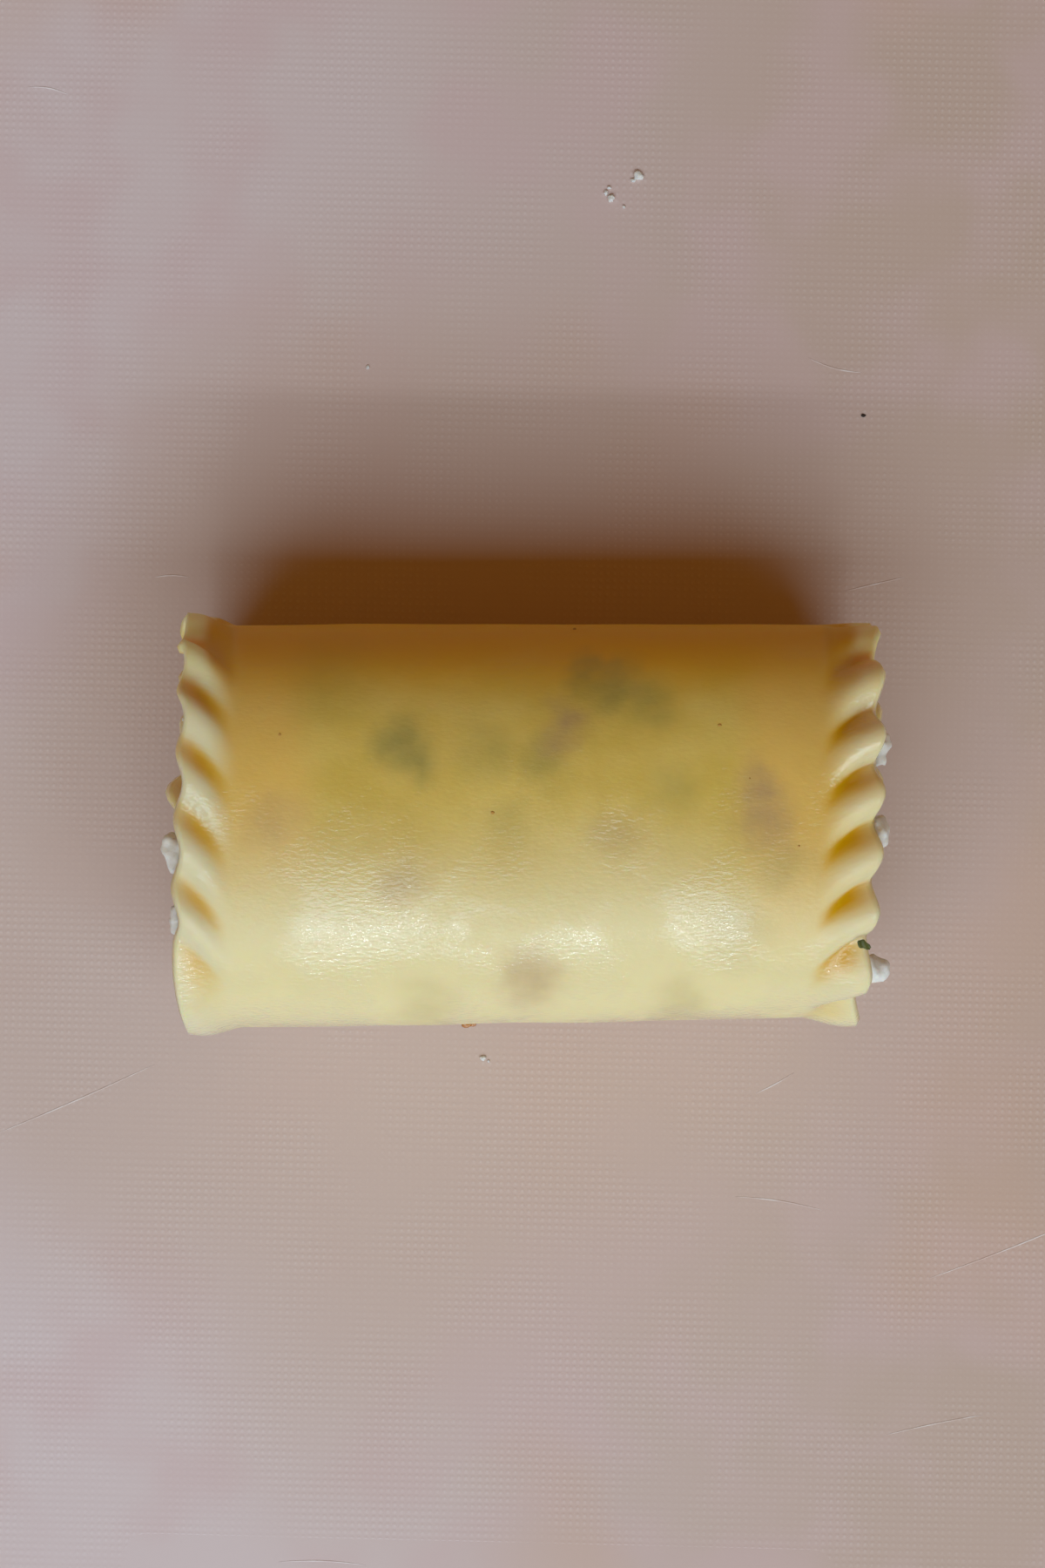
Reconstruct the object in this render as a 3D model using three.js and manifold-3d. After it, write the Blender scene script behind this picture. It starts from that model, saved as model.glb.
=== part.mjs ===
// A lasagna roll-up on a small plastic cutting board.
// One boiled lasagna noodle with curled edges is spread with ricotta, rolled up and laid seam down on the board.
// Millimetres, +Z up. The origin is the middle of the board's underside, and the roll lies along X.
import * as THREE from "three";
import { mergeVertices } from "three/addons/utils/BufferGeometryUtils.js";
import Module from "manifold-3d";

const wasm = await Module();
wasm.setup();

const TAU = 2 * Math.PI;
const degrees = THREE.MathUtils.degToRad;

// ---- Driving dimensions ----

// Board
const BOARD_WIDTH = 140;
const BOARD_LENGTH = 200;
const BOARD_THICKNESS = 7;
const BOARD_CORNER = 14;
const BOARD_EDGE = 1.2; // rounding of the top and bottom edges

// Where the roll lies
const ROLL_AT = new THREE.Vector2(3.2, 1.7);
const REST_GAP = 0.3; // between the roll and the board

// Noodle
const NOODLE_THICKNESS = 1.5;
const EDGE_THICKNESS = 1.15; // the curled edges are thinner
const ROLL_RADIUS = 18.25; // half the roll's width, at the middle of the noodle's thickness
const CORE_RADIUS = 3.3; // where the noodle's inner end lies
const TURN_PITCH = 5.4; // noodle and filling together
const SEAM_PITCH = 3.0; // the same under the noodle's outer end, where the filling runs out
const SEAM_ANGLE = degrees(-112); // from the back, over the top: the outer end is under the roll
const TURNS = 1 + (ROLL_RADIUS - CORE_RADIUS - SEAM_PITCH) / TURN_PITCH;
const NARROWING = 0.001; // the roll's front comes in by this share for each millimetre to the right

// The roll's section is a squashed circle, with a height for its half-width and a squareness above and below.
const UPPER = { height: 0.86, squareness: 2.6 };
const LOWER = { height: 0.8, squareness: 3.4 };

// Each curled edge. It reaches this far from the middle of the roll, this much further at the back, and its inner
// turns stand this far out. The outermost turn has a shallow notch round one angle. The curls have a usual length,
// a rake along the noodle and a share of the full height, they scallop the edge, and they flare more at the front
// and back of the roll. The dips are the hollows that show from outside, by their way along the noodle from its
// outer end.
const LEFT = {
  side: -1,
  reach: 30.95,
  atBack: 0.2,
  inner: 0.9,
  notch: 0.9,
  notchAngle: degrees(58),
  wave: 6.4,
  rake: 0.9,
  height: 0.8,
  scallop: 0.25,
  flare: 0.9,
  dips: [36.8, 46.2, 52.6, 59.3, 65.2, 71.4, 78.2, 84.6, 91.2],
};
const RIGHT = {
  side: 1,
  reach: 30.95,
  atBack: 0.5,
  inner: 0.1,
  notch: 0.9,
  notchAngle: degrees(165),
  wave: 5.8,
  rake: 0.8,
  height: 1,
  scallop: 0.55,
  flare: 0.1,
  dips: [39.8, 49.5, 55.8, 60.8, 66.0, 71.4, 76.8, 84.4, 93.0],
};

// Curls
const CURL_DEPTH = 5.0; // from the edge in to where the noodle is flat
const CURL_FULL = 0.8; // from the edge in to where the curls start to fade
const CURL_LIFT = 1.1; // height of a curl over the middle of the noodle
const OPEN_LIFT = 1.35; // the same where nothing lies over it
const BOARD_LIFT = 0.3; // and where it lies on the board
const CURL_MARGIN = 0.2; // left free between the curls of two turns, and the filling
const CURL_STEEP = 0.12; // an open curl is steep on one side, as it leans towards the inner end
const CURL_LEAN = 0.1; // for each millimetre of its height
const CURL_UNEVEN = 0.12; // in their height, and in turns of their length
const SIZE_WAVE = 4.7; // how fast their height changes along the edge
const RAKE_ROOT = 1.2; // the rake is this much stronger at a curl's root,
const RAKE_EASE = 0.08; // and eases by this for each millimetre towards its tip
const STRAIGHT_END = 12; // stretch of the noodle's ends in which the slant of the curls fades out
const PLAIN_SHARE = 0.4; // how much the noodle's thickness ignores the slope of the curls

// Turns from the outer end over which the noodle gets covered, and over which its edges step out
const COVERED_TURNS = [0.95, 1.03];
const STEP_OUT_TURNS = [1.46, 1.54];
// How much a place faces down where the curls start to flatten on the board, and where they are flat
const FACING_DOWN = [0.35, 0.8];

// Filling
const CLEARANCE = 0.4; // between the filling and the noodle
const FILLING_SHORT = 1.3; // how far the filling stops inside the noodle's edges
const CURD = 0.4; // unevenness of the filling's ends
const SEAM_BARE = 0.14; // turns of the noodle's outer end without filling
const LUMP_SUNK = 0.4; // how far the lumps sink in, for their radius

// Lumps of ricotta that stand out of the ends: their angle on the roll and how far they pass the edge
const LUMPS = [
  { edge: LEFT, angle: degrees(97), radius: 1.7, past: 0.3 },
  { edge: LEFT, angle: degrees(124), radius: 1.3, past: 0 },
  { edge: RIGHT, angle: degrees(62), radius: 1.4, past: 0.3 },
  { edge: RIGHT, angle: degrees(91), radius: 1.5, past: 0.4 },
  { edge: RIGHT, angle: degrees(119), radius: 1.0, past: -0.3 },
  { edge: RIGHT, angle: degrees(146), radius: 1.6, past: 0.8 },
];

// How finely things are divided
const OUTER_STEP = 0.9;
const INNER_STEP = 1.25;
const CURL_ROWS = [0, 2.2, CURL_DEPTH];
const SPIRAL_STEP = 0.05;
const FILLING_SPOKES = 24;
const FILLING_RINGS = [0.02, 0.4, 0.75, 1];

// ---- Small helpers ----

const mix = THREE.MathUtils.lerp;

// Rises smoothly from 0 at `from` to 1 at `to`; `from` may be the larger one.
function smooth(from, to, x) {
  const t = THREE.MathUtils.clamp((x - from) / (to - from), 0, 1);
  return t * t * (3 - 2 * t);
}

// A repeatable uneven value from -1 to 1 for any number.
function uneven(n) {
  const x = Math.sin(n * 12.9898 + 4.1) * 43758.5453;
  return 2 * (x - Math.floor(x)) - 1;
}

const pick = (list, i) => list[THREE.MathUtils.clamp(i, 0, list.length - 1)];

function mesh(name, geometry, material) {
  const made = new THREE.Mesh(geometry, material);
  made.name = name;
  return made;
}

// ---- Solids for cutting and joining ----

function toSolid(geometry) {
  const bare = geometry.clone();
  bare.deleteAttribute("normal");
  bare.deleteAttribute("uv");
  const merged = mergeVertices(bare, 1e-4);
  return new wasm.Manifold(
    new wasm.Mesh({
      numProp: 3,
      vertProperties: new Float32Array(merged.attributes.position.array),
      triVerts: new Uint32Array(merged.index.array),
    }),
  );
}

function toGeometry(solid) {
  const { vertProperties, triVerts } = solid.getMesh();
  return new THREE.BufferGeometry()
    .setAttribute("position", new THREE.BufferAttribute(vertProperties, 3))
    .setIndex(new THREE.BufferAttribute(triVerts, 1));
}

function largestBody(solid) {
  return solid.decompose().reduce((a, b) => (b.volume() > a.volume() ? b : a));
}

// A closed body from rings of points that all run the same way round. `lid` holds the triangles that close a ring.
function ringBody(rings, lid) {
  const count = rings[0].length;
  const index = [];
  for (let i = 0; i + 1 < rings.length; i++) {
    for (let j = 0; j < count; j++) {
      const a = i * count + j;
      const b = i * count + ((j + 1) % count);
      index.push(a, b, a + count, b, b + count, a + count);
    }
  }
  const last = (rings.length - 1) * count;
  for (const [a, b, c] of lid) {
    index.push(a, c, b, last + a, last + b, last + c);
  }
  return new THREE.BufferGeometry().setFromPoints(rings.flat()).setIndex(index);
}

// ---- The roll's spiral, in the YZ plane ----
// `back` counts the turns back along the noodle from its outer end. A level is a depth below the roll's outline.

const angleAt = (back) => SEAM_ANGLE + TAU * back;

function levelAt(back) {
  return back < 1 ? SEAM_PITCH * back ** 3 : SEAM_PITCH + TURN_PITCH * (back - 1);
}

function backAt(level) {
  return level < SEAM_PITCH ? Math.cbrt(level / SEAM_PITCH) : 1 + (level - SEAM_PITCH) / TURN_PITCH;
}

// The point at a level and an angle, with the section squashed towards a rounded square.
function sectionPoint(level, angle) {
  const radius = ROLL_RADIUS - level;
  const half = Math.sin(angle) >= 0 ? UPPER : LOWER;
  const power = mix(2, half.squareness, radius / ROLL_RADIUS);
  const across = Math.abs(Math.cos(angle)) ** power;
  const up = Math.abs(Math.sin(angle)) ** power;
  const reach = radius * (across + up) ** (-1 / power);
  return new THREE.Vector2(reach * Math.cos(angle), reach * Math.sin(angle) * half.height);
}

const spiralAt = (back) => sectionPoint(levelAt(back), angleAt(back));

// The spiral at even steps from the noodle's outer end: how many turns back, where, which way ahead and outwards.
function spiralSteps() {
  const fine = 0.0002;
  const steps = [];
  let along = 0;
  for (let back = 0; back < TURNS; back += fine) {
    const at = spiralAt(back);
    if (along >= steps.length * SPIRAL_STEP) {
      const ahead = spiralAt(back - fine).sub(spiralAt(back + fine)).normalize();
      steps.push({ back, at, ahead, out: new THREE.Vector2(-ahead.y, ahead.x) });
    }
    along += at.distanceTo(spiralAt(back + fine));
  }
  return steps;
}

const SPIRAL = spiralSteps();
const NOODLE_LENGTH = (SPIRAL.length - 1) * SPIRAL_STEP;
const spiralAlong = (along) => pick(SPIRAL, Math.round(along / SPIRAL_STEP));

// How far along X an edge of the noodle, or the filling beside it, lies.
function edgeAt(edge, back, angle) {
  const notch = edge.notch * Math.max(Math.cos(angle - edge.notchAngle), 0) ** 4;
  const step = mix(-notch, edge.inner, smooth(...STEP_OUT_TURNS, back));
  return edge.side * (edge.reach + edge.atBack * Math.cos(angle) + step);
}

// A point of the roll, from its place along X and in the section. Its front comes in towards the right.
function rollPoint(x, across, up) {
  return new THREE.Vector3(x, across < 0 ? across * (1 - NARROWING * x) : across, up);
}

// ---- The noodle ----

// How many curls an edge has had by a point along it. Where no dip is given they run on, a little uneven.
function curlsBy(edge, along) {
  const { dips, wave } = edge;
  const next = dips.findIndex((dip) => dip > along);
  if (next > 0) {
    return next - (dips[next] - along) / (dips[next] - dips[next - 1]);
  }
  const count = next === 0 ? 0 : dips.length - 1;
  const past = along - dips[count];
  return count + past / wave + CURL_UNEVEN * Math.sin(past / wave);
}

// How high a curl may stand inwards and outwards: half of the room to the next turn, less a little.
function curlLifts(back) {
  const half = (room) => Math.min(CURL_LIFT, (room * LOWER.height - EDGE_THICKNESS) / 2 - CURL_MARGIN);
  const inwards = half(levelAt(back + 1) - levelAt(back));
  const covered = back < 1 ? inwards : half(levelAt(back) - levelAt(back - 1));
  const flattened = smooth(...FACING_DOWN, -Math.sin(angleAt(back)));
  const open = 1 - smooth(...COVERED_TURNS, back);
  return { inwards, outwards: mix(covered, mix(OPEN_LIFT, BOARD_LIFT, flattened), open), open };
}

// A point of the noodle's middle surface. The curls run aslant: their tips lie further ahead than their roots.
function noodlePoint(along, edge, depth) {
  const fromRoot = CURL_DEPTH - depth;
  const fromEnds = smooth(0, STRAIGHT_END, along) * smooth(NOODLE_LENGTH, NOODLE_LENGTH - STRAIGHT_END, along);
  const slant = edge.rake * fromRoot * (RAKE_ROOT - RAKE_EASE * fromRoot) * fromEnds;
  const { back, at, ahead, out } = spiralAlong(along - slant);
  const { inwards, outwards, open } = curlLifts(back);
  const turned = TAU * curlsBy(edge, along);
  const wave = CURL_STEEP * open * Math.sin(2 * turned) - Math.cos(turned);
  const size = 1 + CURL_UNEVEN * Math.sin(along / SIZE_WAVE + 2 * edge.side);
  const flare = edge.flare * open * Math.cos(angleAt(back)) ** 4;
  const fade = smooth(CURL_DEPTH, CURL_FULL, depth);
  const share = fade * mix(1, edge.height, open);
  const lift = share * wave * (wave > 0 ? size * outwards + flare : inwards);
  const lean = CURL_LEAN * open * lift;
  const x = edgeAt(edge, back, angleAt(back)) + edge.side * (edge.scallop * wave * fade - depth);
  return rollPoint(x, at.x + out.x * lift - ahead.x * lean, at.y + out.y * lift - ahead.y * lean);
}

// The noodle as one closed sheet, or as what to cut out round it, with `room` on all sides.
function noodleSheet(room = 0) {
  const stations = [];
  for (let along = 0; along < NOODLE_LENGTH; along += spiralAlong(along).back < 1 ? OUTER_STEP : INNER_STEP) {
    stations.push(along);
  }
  const columns = [
    ...CURL_ROWS.map((depth) => ({ edge: LEFT, depth })),
    ...CURL_ROWS.toReversed().map((depth) => ({ edge: RIGHT, depth })),
  ];
  const middle = stations.map((along) => columns.map(({ edge, depth }) => noodlePoint(along, edge, depth)));
  const rings = stations.map((along, i) => {
    const { out, ahead } = spiralAlong(along);
    const plain = new THREE.Vector3(0, out.x, out.y);
    const past = (i === 0) - (i === stations.length - 1);
    const outside = [];
    const inside = [];
    columns.forEach(({ edge, depth }, j) => {
      const onwards = new THREE.Vector3().subVectors(pick(middle, i - 1)[j], pick(middle, i + 1)[j]);
      const across = new THREE.Vector3().subVectors(pick(middle[i], j + 1), pick(middle[i], j - 1));
      const normal = across.cross(onwards).normalize().lerp(plain, PLAIN_SHARE).normalize();
      const thickness = mix(EDGE_THICKNESS, NOODLE_THICKNESS, smooth(0, CURL_DEPTH, depth));
      const offset = normal.multiplyScalar(thickness / 2 + room);
      const beyond = new THREE.Vector3(depth === 0 ? edge.side : 0, past * ahead.x, past * ahead.y);
      const at = middle[i][j].clone().addScaledVector(beyond, room);
      outside.push(at.clone().add(offset));
      inside.push(at.clone().sub(offset));
    });
    return [...inside, ...outside.reverse()];
  });
  // The lid closes a ring as a strip of quads between its inside and its outside.
  const last = 2 * columns.length - 1;
  const lid = [];
  for (let j = 0; j + 1 < columns.length; j++) {
    lid.push([j, j + 1, last - j], [j + 1, last - j - 1, last - j]);
  }
  return ringBody(rings, lid);
}

// ---- The filling ----

// All that the outermost turn holds, with uneven ends.
function rolledBody() {
  const spokes = Array.from({ length: FILLING_SPOKES }, (_, i) => i / FILLING_SPOKES);
  const ringAt = (edge, fraction) =>
    spokes.map((back, i) => {
      const outermost = Math.max(levelAt(back), SEAM_PITCH * (1 - back / SEAM_BARE));
      const level = mix(ROLL_RADIUS, outermost, fraction);
      const angle = angleAt(back);
      const bump = CURD * uneven(i + 57 * fraction + 7 * edge.side);
      const x = edgeAt(edge, backAt(level), angle) - edge.side * (FILLING_SHORT + bump);
      const { x: across, y: up } = sectionPoint(level, angle);
      return rollPoint(x, across, up);
    });
  const left = FILLING_RINGS.map((fraction) => ringAt(LEFT, fraction));
  const right = FILLING_RINGS.toReversed().map((fraction) => ringAt(RIGHT, fraction));
  const lid = spokes.slice(2).map((_, i) => [0, i + 1, i + 2]);
  return toSolid(ringBody([...left, ...right], lid));
}

// A lump half-way between the outermost turn and the next.
function lump({ edge, angle, radius, past }) {
  const back = (angle - SEAM_ANGLE) / TAU;
  const { x: across, y: up } = sectionPoint((levelAt(back) + levelAt(back + 1)) / 2, angle);
  const at = rollPoint(edgeAt(edge, back, angle) + edge.side * (past - LUMP_SUNK * radius), across, up);
  return toSolid(new THREE.IcosahedronGeometry(radius, 1).translate(at.x, at.y, at.z));
}

function filling() {
  const whole = LUMPS.map(lump).reduce((body, one) => body.add(one), rolledBody());
  return toGeometry(largestBody(whole.subtract(toSolid(noodleSheet(CLEARANCE)))));
}

// ---- The board ----

function board() {
  const x = BOARD_WIDTH / 2 - BOARD_EDGE;
  const y = BOARD_LENGTH / 2 - BOARD_EDGE;
  const r = BOARD_CORNER - BOARD_EDGE;
  const outline = new THREE.Shape()
    .absarc(x - r, -y + r, r, -Math.PI / 2, 0)
    .absarc(x - r, y - r, r, 0, Math.PI / 2)
    .absarc(-x + r, y - r, r, Math.PI / 2, Math.PI)
    .absarc(-x + r, -y + r, r, Math.PI, 1.5 * Math.PI);
  const slab = new THREE.ExtrudeGeometry(outline, {
    depth: BOARD_THICKNESS - 2 * BOARD_EDGE,
    bevelThickness: BOARD_EDGE,
    bevelSize: BOARD_EDGE,
    bevelSegments: 2,
    curveSegments: 6,
  });
  return slab.translate(0, 0, BOARD_EDGE);
}

// ---- The whole ----

const pasta = new THREE.MeshStandardMaterial({ color: "#e3cd8a", roughness: 0.4 });
const ricotta = new THREE.MeshStandardMaterial({ color: "#f3efe6", roughness: 0.7 });
const plastic = new THREE.MeshStandardMaterial({ color: "#b9aaa4", roughness: 0.55 });

const noodle = noodleSheet();
noodle.computeBoundingBox();

const roll = new THREE.Group();
roll.add(mesh("pasta_noodle", noodle, pasta), mesh("ricotta_filling", filling(), ricotta));
roll.position.set(ROLL_AT.x, ROLL_AT.y, BOARD_THICKNESS + REST_GAP - noodle.boundingBox.min.z);

const model = new THREE.Group();
model.add(mesh("cutting_board", board(), plastic), roll);

export default model;
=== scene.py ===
"""A lasagna roll-up on a small plastic cutting board.

The noodle, its filling and the board are made finely here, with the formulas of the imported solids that
they stand for. Sizes are millimetres until a mesh is made. +X is to the right, +Y to the back, +Z up.
"""
import math
from types import SimpleNamespace

import bmesh
import bpy
import numpy as np
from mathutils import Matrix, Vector, noise


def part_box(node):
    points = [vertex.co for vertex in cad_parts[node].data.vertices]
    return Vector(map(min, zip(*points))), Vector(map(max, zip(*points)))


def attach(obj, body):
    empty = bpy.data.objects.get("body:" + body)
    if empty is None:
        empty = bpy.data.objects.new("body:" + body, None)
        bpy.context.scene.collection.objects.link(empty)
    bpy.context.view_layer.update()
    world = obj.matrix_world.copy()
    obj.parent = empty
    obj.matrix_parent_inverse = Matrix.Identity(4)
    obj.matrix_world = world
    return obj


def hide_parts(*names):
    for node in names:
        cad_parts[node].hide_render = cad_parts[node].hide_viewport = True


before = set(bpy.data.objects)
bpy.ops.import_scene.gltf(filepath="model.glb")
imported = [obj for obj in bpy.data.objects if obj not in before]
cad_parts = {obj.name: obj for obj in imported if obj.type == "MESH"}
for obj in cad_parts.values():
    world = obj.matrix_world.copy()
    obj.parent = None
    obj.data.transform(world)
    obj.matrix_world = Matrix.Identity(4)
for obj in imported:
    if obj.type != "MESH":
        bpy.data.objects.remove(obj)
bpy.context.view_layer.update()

TAU = 2 * math.pi
MM = 0.001

# ---- Sizes of the board, the roll and its curls ----
# They are those of the solids, apart from the curls, which are finer, lower and gentler here.

BOARD_WIDTH, BOARD_LENGTH, BOARD_THICKNESS = 140, 200, 7
BOARD_CORNER = 14
BOARD_EDGE = 1.2
ROLL_AT = (3.2, 1.7)

NOODLE_THICKNESS = 1.5
EDGE_THICKNESS = 1.15
ROLL_RADIUS = 18.25
CORE_RADIUS = 3.3
TURN_PITCH = 5.4
SEAM_PITCH = 3.0
SEAM_ANGLE = math.radians(-112)
TURNS = 1 + (ROLL_RADIUS - CORE_RADIUS - SEAM_PITCH) / TURN_PITCH
NARROWING = 0.001
UPPER = SimpleNamespace(height=0.86, squareness=2.6)
LOWER = SimpleNamespace(height=0.8, squareness=3.4)

# The noodle's two edges. An edge is at `reach` from the roll's middle, `at_back` further out at the back,
# `tuck` further in underneath, and `notch` further in round `notch_angle`. Of the next turn, one stretch
# stands `inner` out past it. A curl is about `wave` long, lies slanted by `rake` and `swing`, and has a
# `height`, a `scallop` sideways and a `flare` at the back and at the front. Painted golden shade lies in
# the dips, from `gold_from` to `gold_to` curls past each dip and `gold_in` deep, and weaker at the lit
# front. `crest` is how pale the crests are: partly their own thinner pasta, partly painted light. `dips`
# are lengths along the noodle from its outer end.
LEFT = SimpleNamespace(
    side=-1, reach=31.15, at_back=0.2, inner=0.8, tuck=0.7, notch=0.7, notch_angle=math.radians(58),
    wave=6.6, rake=0.9, swing=0.35, height=0.36, scallop=0.35, scallop_turn=0.35, flare=(2.3, 2.3),
    gold=0.7, gold_from=-0.14, gold_to=0.32, gold_in=4.6, gold_at_front=0.2, crest=1,
    dips=[36.8, 46.2, 52.6, 58.4, 64.4, 70.5, 76.2, 94.0],
)
RIGHT = SimpleNamespace(
    side=1, reach=30.8, at_back=0.5, inner=0.1, tuck=0.4, notch=0.9, notch_angle=math.radians(165),
    wave=5.8, rake=0.8, swing=0, height=0.68, scallop=0.42, scallop_turn=0, flare=(-0.8, 0.1),
    gold=1, gold_from=-0.12, gold_to=0.4, gold_in=5.3, gold_at_front=0.3, crest=0.8,
    dips=[39.2, 48.9, 55.2, 60.2, 65.4, 70.8, 76.2, 83.9, 92.7],
)

CURL_DEPTH = 5.0
CURL_FULL = 0.8
CURL_LIFT = 1.1
OPEN_LIFT = 1.35
BOARD_LIFT = 0.3
CURL_MARGIN = 0.2
CURL_STEEP = 0.04
CURL_LEAN = 0.05
CURL_UNEVEN = 0.12
SIZE_WAVE = 4.7
RAKE_ROOT = 1.2
RAKE_EASE = 0.08
STRAIGHT_END = 12
PLAIN_SHARE = 0.4
COVERED_TURNS = (0.95, 1.03)
STEP_OUT_TURNS = (1.485, 1.505)
STEP_BACK_TURNS = (1.515, 1.54)
INNER_BACK = -0.4
FACING_DOWN = (0.35, 0.8)

FILLING_SHORT = 1.3
SEAM_BARE = 0.14

# ---- Sizes that only the looks have ----

OUTER_STEP = 0.42  # along the noodle, where it shows all over
INNER_STEP = 0.75  # and where only its edges show
CURL_ROWS = 18
MIDDLE_ROWS = 56
CREST_FULL = 0.25  # how much broader a crest is than a dip
EDGE_ROUND = 0.3  # how far the cut edge of the noodle bulges
DENT_DEPTH = 0.16  # of the soft unevenness of the noodle, and its length
DENT_LENGTH = 9
VOXEL = 0.3  # to which the ricotta's ends are melted together
PALE_FRONT = (5, -10)  # from where to where, across the roll, the noodle is painted paler towards the front: painted light where it faces the lamps
PALE_LATER = 3  # how much nearer the front that is at the right end, and from where to where it comes to that
RIGHT_END = (10, 24)
GOLD_BACK = (10.5, 17)  # where its back, turned from the lamps, is painted golden brown: painted shade
WEAK_GOLD = (-10, -14.5)  # and where the painted golden shade of its dips gets weaker, towards the lit front
FACING_BACK = (0.35, 0.8)  # from which slope to which the curls' back faces, turned from the lamps, get painted golden shade
FACING_BACK_IN = (1.2, 2.6)  # and from how far in from the edge
INNER_PALE = 0.35  # how pale the crests of the inner turns are, to the outermost ones: less, as painted shade, since they lie in shade
GOLD_RISE, GOLD_FALL = 0.16, 0.22  # over what part of a curl the painted golden shade of a dip comes and goes
GOLD_RIM = (-0.4, 2.0)  # from where to where, in from the edge, it comes
GOLD_ROOT = 2.1  # and over what depth it goes
PALE_RISE = 0.14  # half the part of a curl over which a crest gets pale
PALE_RIM = (2.0, 0.2)  # from where to where, towards the edge, the rim gets paler: painted light through the thin edge
THIN_ENDS = (17.5, 22)  # from where to where, to each side, it is more orange, with little filling under it

# What shows through the noodle's top: place on the roll, radius and strength
HERB_SPOTS = [
    (-11.4, 8.1, 1.9, 0.9),
    (-10.4, 6.8, 1.9, 0.9),
    (-3.2, 7.4, 2.3, 0.45),
    (1.3, 6.3, 1.8, 0.6),
    (5.4, 13.6, 1.6, 0.6),
    (7.8, 12.6, 2.0, 0.8),
    (10.4, 11.4, 1.8, 0.6),
    (12.9, 3.7, 2.0, 0.4),
    (22.5, -2.8, 1.9, 0.35),
    (13.6, -15.0, 2.2, 0.35),
    (-9.1, -15.4, 2.2, 0.3),
    (18.0, -8.3, 2.4, 0.3),
    (-17.8, 13.3, 3.2, 0.2),
    (-1.5, 0.5, 1.7, 0.25),
]
HAM_SPOTS = [
    (3.4, 9.6, 1.6, 0.8),
    (2.6, 8.2, 1.3, 0.7),
    (21.0, 3.4, 1.9, 0.85),
    (21.0, 1.2, 2.0, 0.85),
    (-11.2, -4.3, 1.8, 0.45),
    (0.1, -12.4, 2.3, 0.6),
    (7.8, 0.0, 1.9, 0.35),
    (-22.5, 1.1, 2.2, 0.35),
]
BRAN_SPECKS = [(-21.5, 8.7), (20.0, 4.8), (-2.7, 1.9), (24.1, -1.2), (4.7, 18.3), (16.7, 9.5)]

# Ricotta that stands out of the ends: which end, angle on the roll, radius, how far its tip is past the
# edge, and how far its middle is above the middle of the filling
RICOTTA_LUMPS = [
    (LEFT, 95, 1.6, 1.8, 0),
    (LEFT, 100, 1.3, 1.5, 0),
    (LEFT, 118, 1.3, 1.1, 0),
    (LEFT, 123, 0.9, 0.9, 0),
    (LEFT, 52, 0.4, 0.5, 0),
    (LEFT, 38, 0.3, 0.5, 0),
    (RIGHT, 61, 1.3, 1.5, 0),
    (RIGHT, 66, 0.8, 1.2, 0),
    (RIGHT, 72, 0.8, 0.1, 1.2),
    (RIGHT, 88, 1.2, 1.4, 0.8),
    (RIGHT, 92, 1.3, 1.3, 1.6),
    (RIGHT, 91, 0.7, 0.1, 2.6),
    (RIGHT, 96, 0.9, 0.8, 1.2),
    (RIGHT, 119, 0.6, 0.3, 0.8),
    (RIGHT, 143, 1.0, 1.5, 0),
    (RIGHT, 149, 1.5, 3.0, 0),
    (RIGHT, 155, 1.1, 1.7, 0),
]
CURDS_PER_END = 420
CURD_RADIUS = (0.3, 1.0)
CORE_CURD_RADIUS = (0.4, 0.9)
BITS_COLUMN = 5  # the noodle's column, from each edge, at which the herbs and the ham lie
LEAF_ON_EDGE = (29.7, -9.9, 14.7)  # a scrap of herb that lies on the edge of the noodle

# On the board, from its middle: place and radius
RICOTTA_CRUMBS = [
    (13.8, 63.9, 0.4), (13.3, 63.5, 0.22), (11.2, 61.8, 0.35), (10.7, 62.3, 0.25), (11.0, 62.8, 0.18),
    (12.4, 61.0, 0.16), (-1.0, -20.1, 0.25), (-0.5, -20.4, 0.15), (-12.0, 45.7, 0.16),
]
PEPPER_FLECKS = [(35.2, 41.1, 0.2)]
SAUCE_DROPS = [(-2.6, -16.7, 0.45), (-2.0, -16.8, 0.3)]
KNIFE_MARKS = [
    ((-47.1, -27.2), (-32.3, -20.7)),
    ((24.9, -23.5), (28.6, -21.5)),
    ((23.0, -33.3), (31.3, -34.6)),
    ((41.5, -41.1), (56.0, -35.4)),
    ((37.4, -56.0), (46.6, -54.1)),
    ((33.2, 24.3), (39.2, 25.7)),
    ((30.0, 46.6), (35.0, 45.2)),
    ((-44.3, 72.4), (-40.6, 71.7)),
    ((-32.3, 25.7), (-29.0, 25.7)),
    ((-20.5, -68.1), (-12.2, -68.4)),
]
MARK_WIDTH = 0.13
KNURL_PITCH = 0.67
KNURL_SKEW = 1.4  # degrees that the knurled rows and the smooth panel are out of square
PANEL = SimpleNamespace(middle=(0.3, -77.2), half=(33.7, 11), corner=2.0)


# ---- Small helpers ----


def mix(a, b, t):
    return a + (b - a) * t


def smooth(start, end, x):
    """Rises smoothly from 0 at start to 1 at end; start may be the larger one."""
    t = np.clip((x - start) / (end - start), 0, 1)
    return t * t * (3 - 2 * t)


def unit(vectors):
    return vectors / np.linalg.norm(vectors, axis=-1, keepdims=True)


def uneven(points, length, seed):
    """Smooth noise from about -1 to 1 at each point, with bumps of that length."""
    flat = np.asarray(points, float).reshape(-1, 3) / length + 31.7 * seed
    return np.array([noise.noise(Vector(p)) for p in flat]).reshape(np.shape(points)[:-1])


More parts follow.
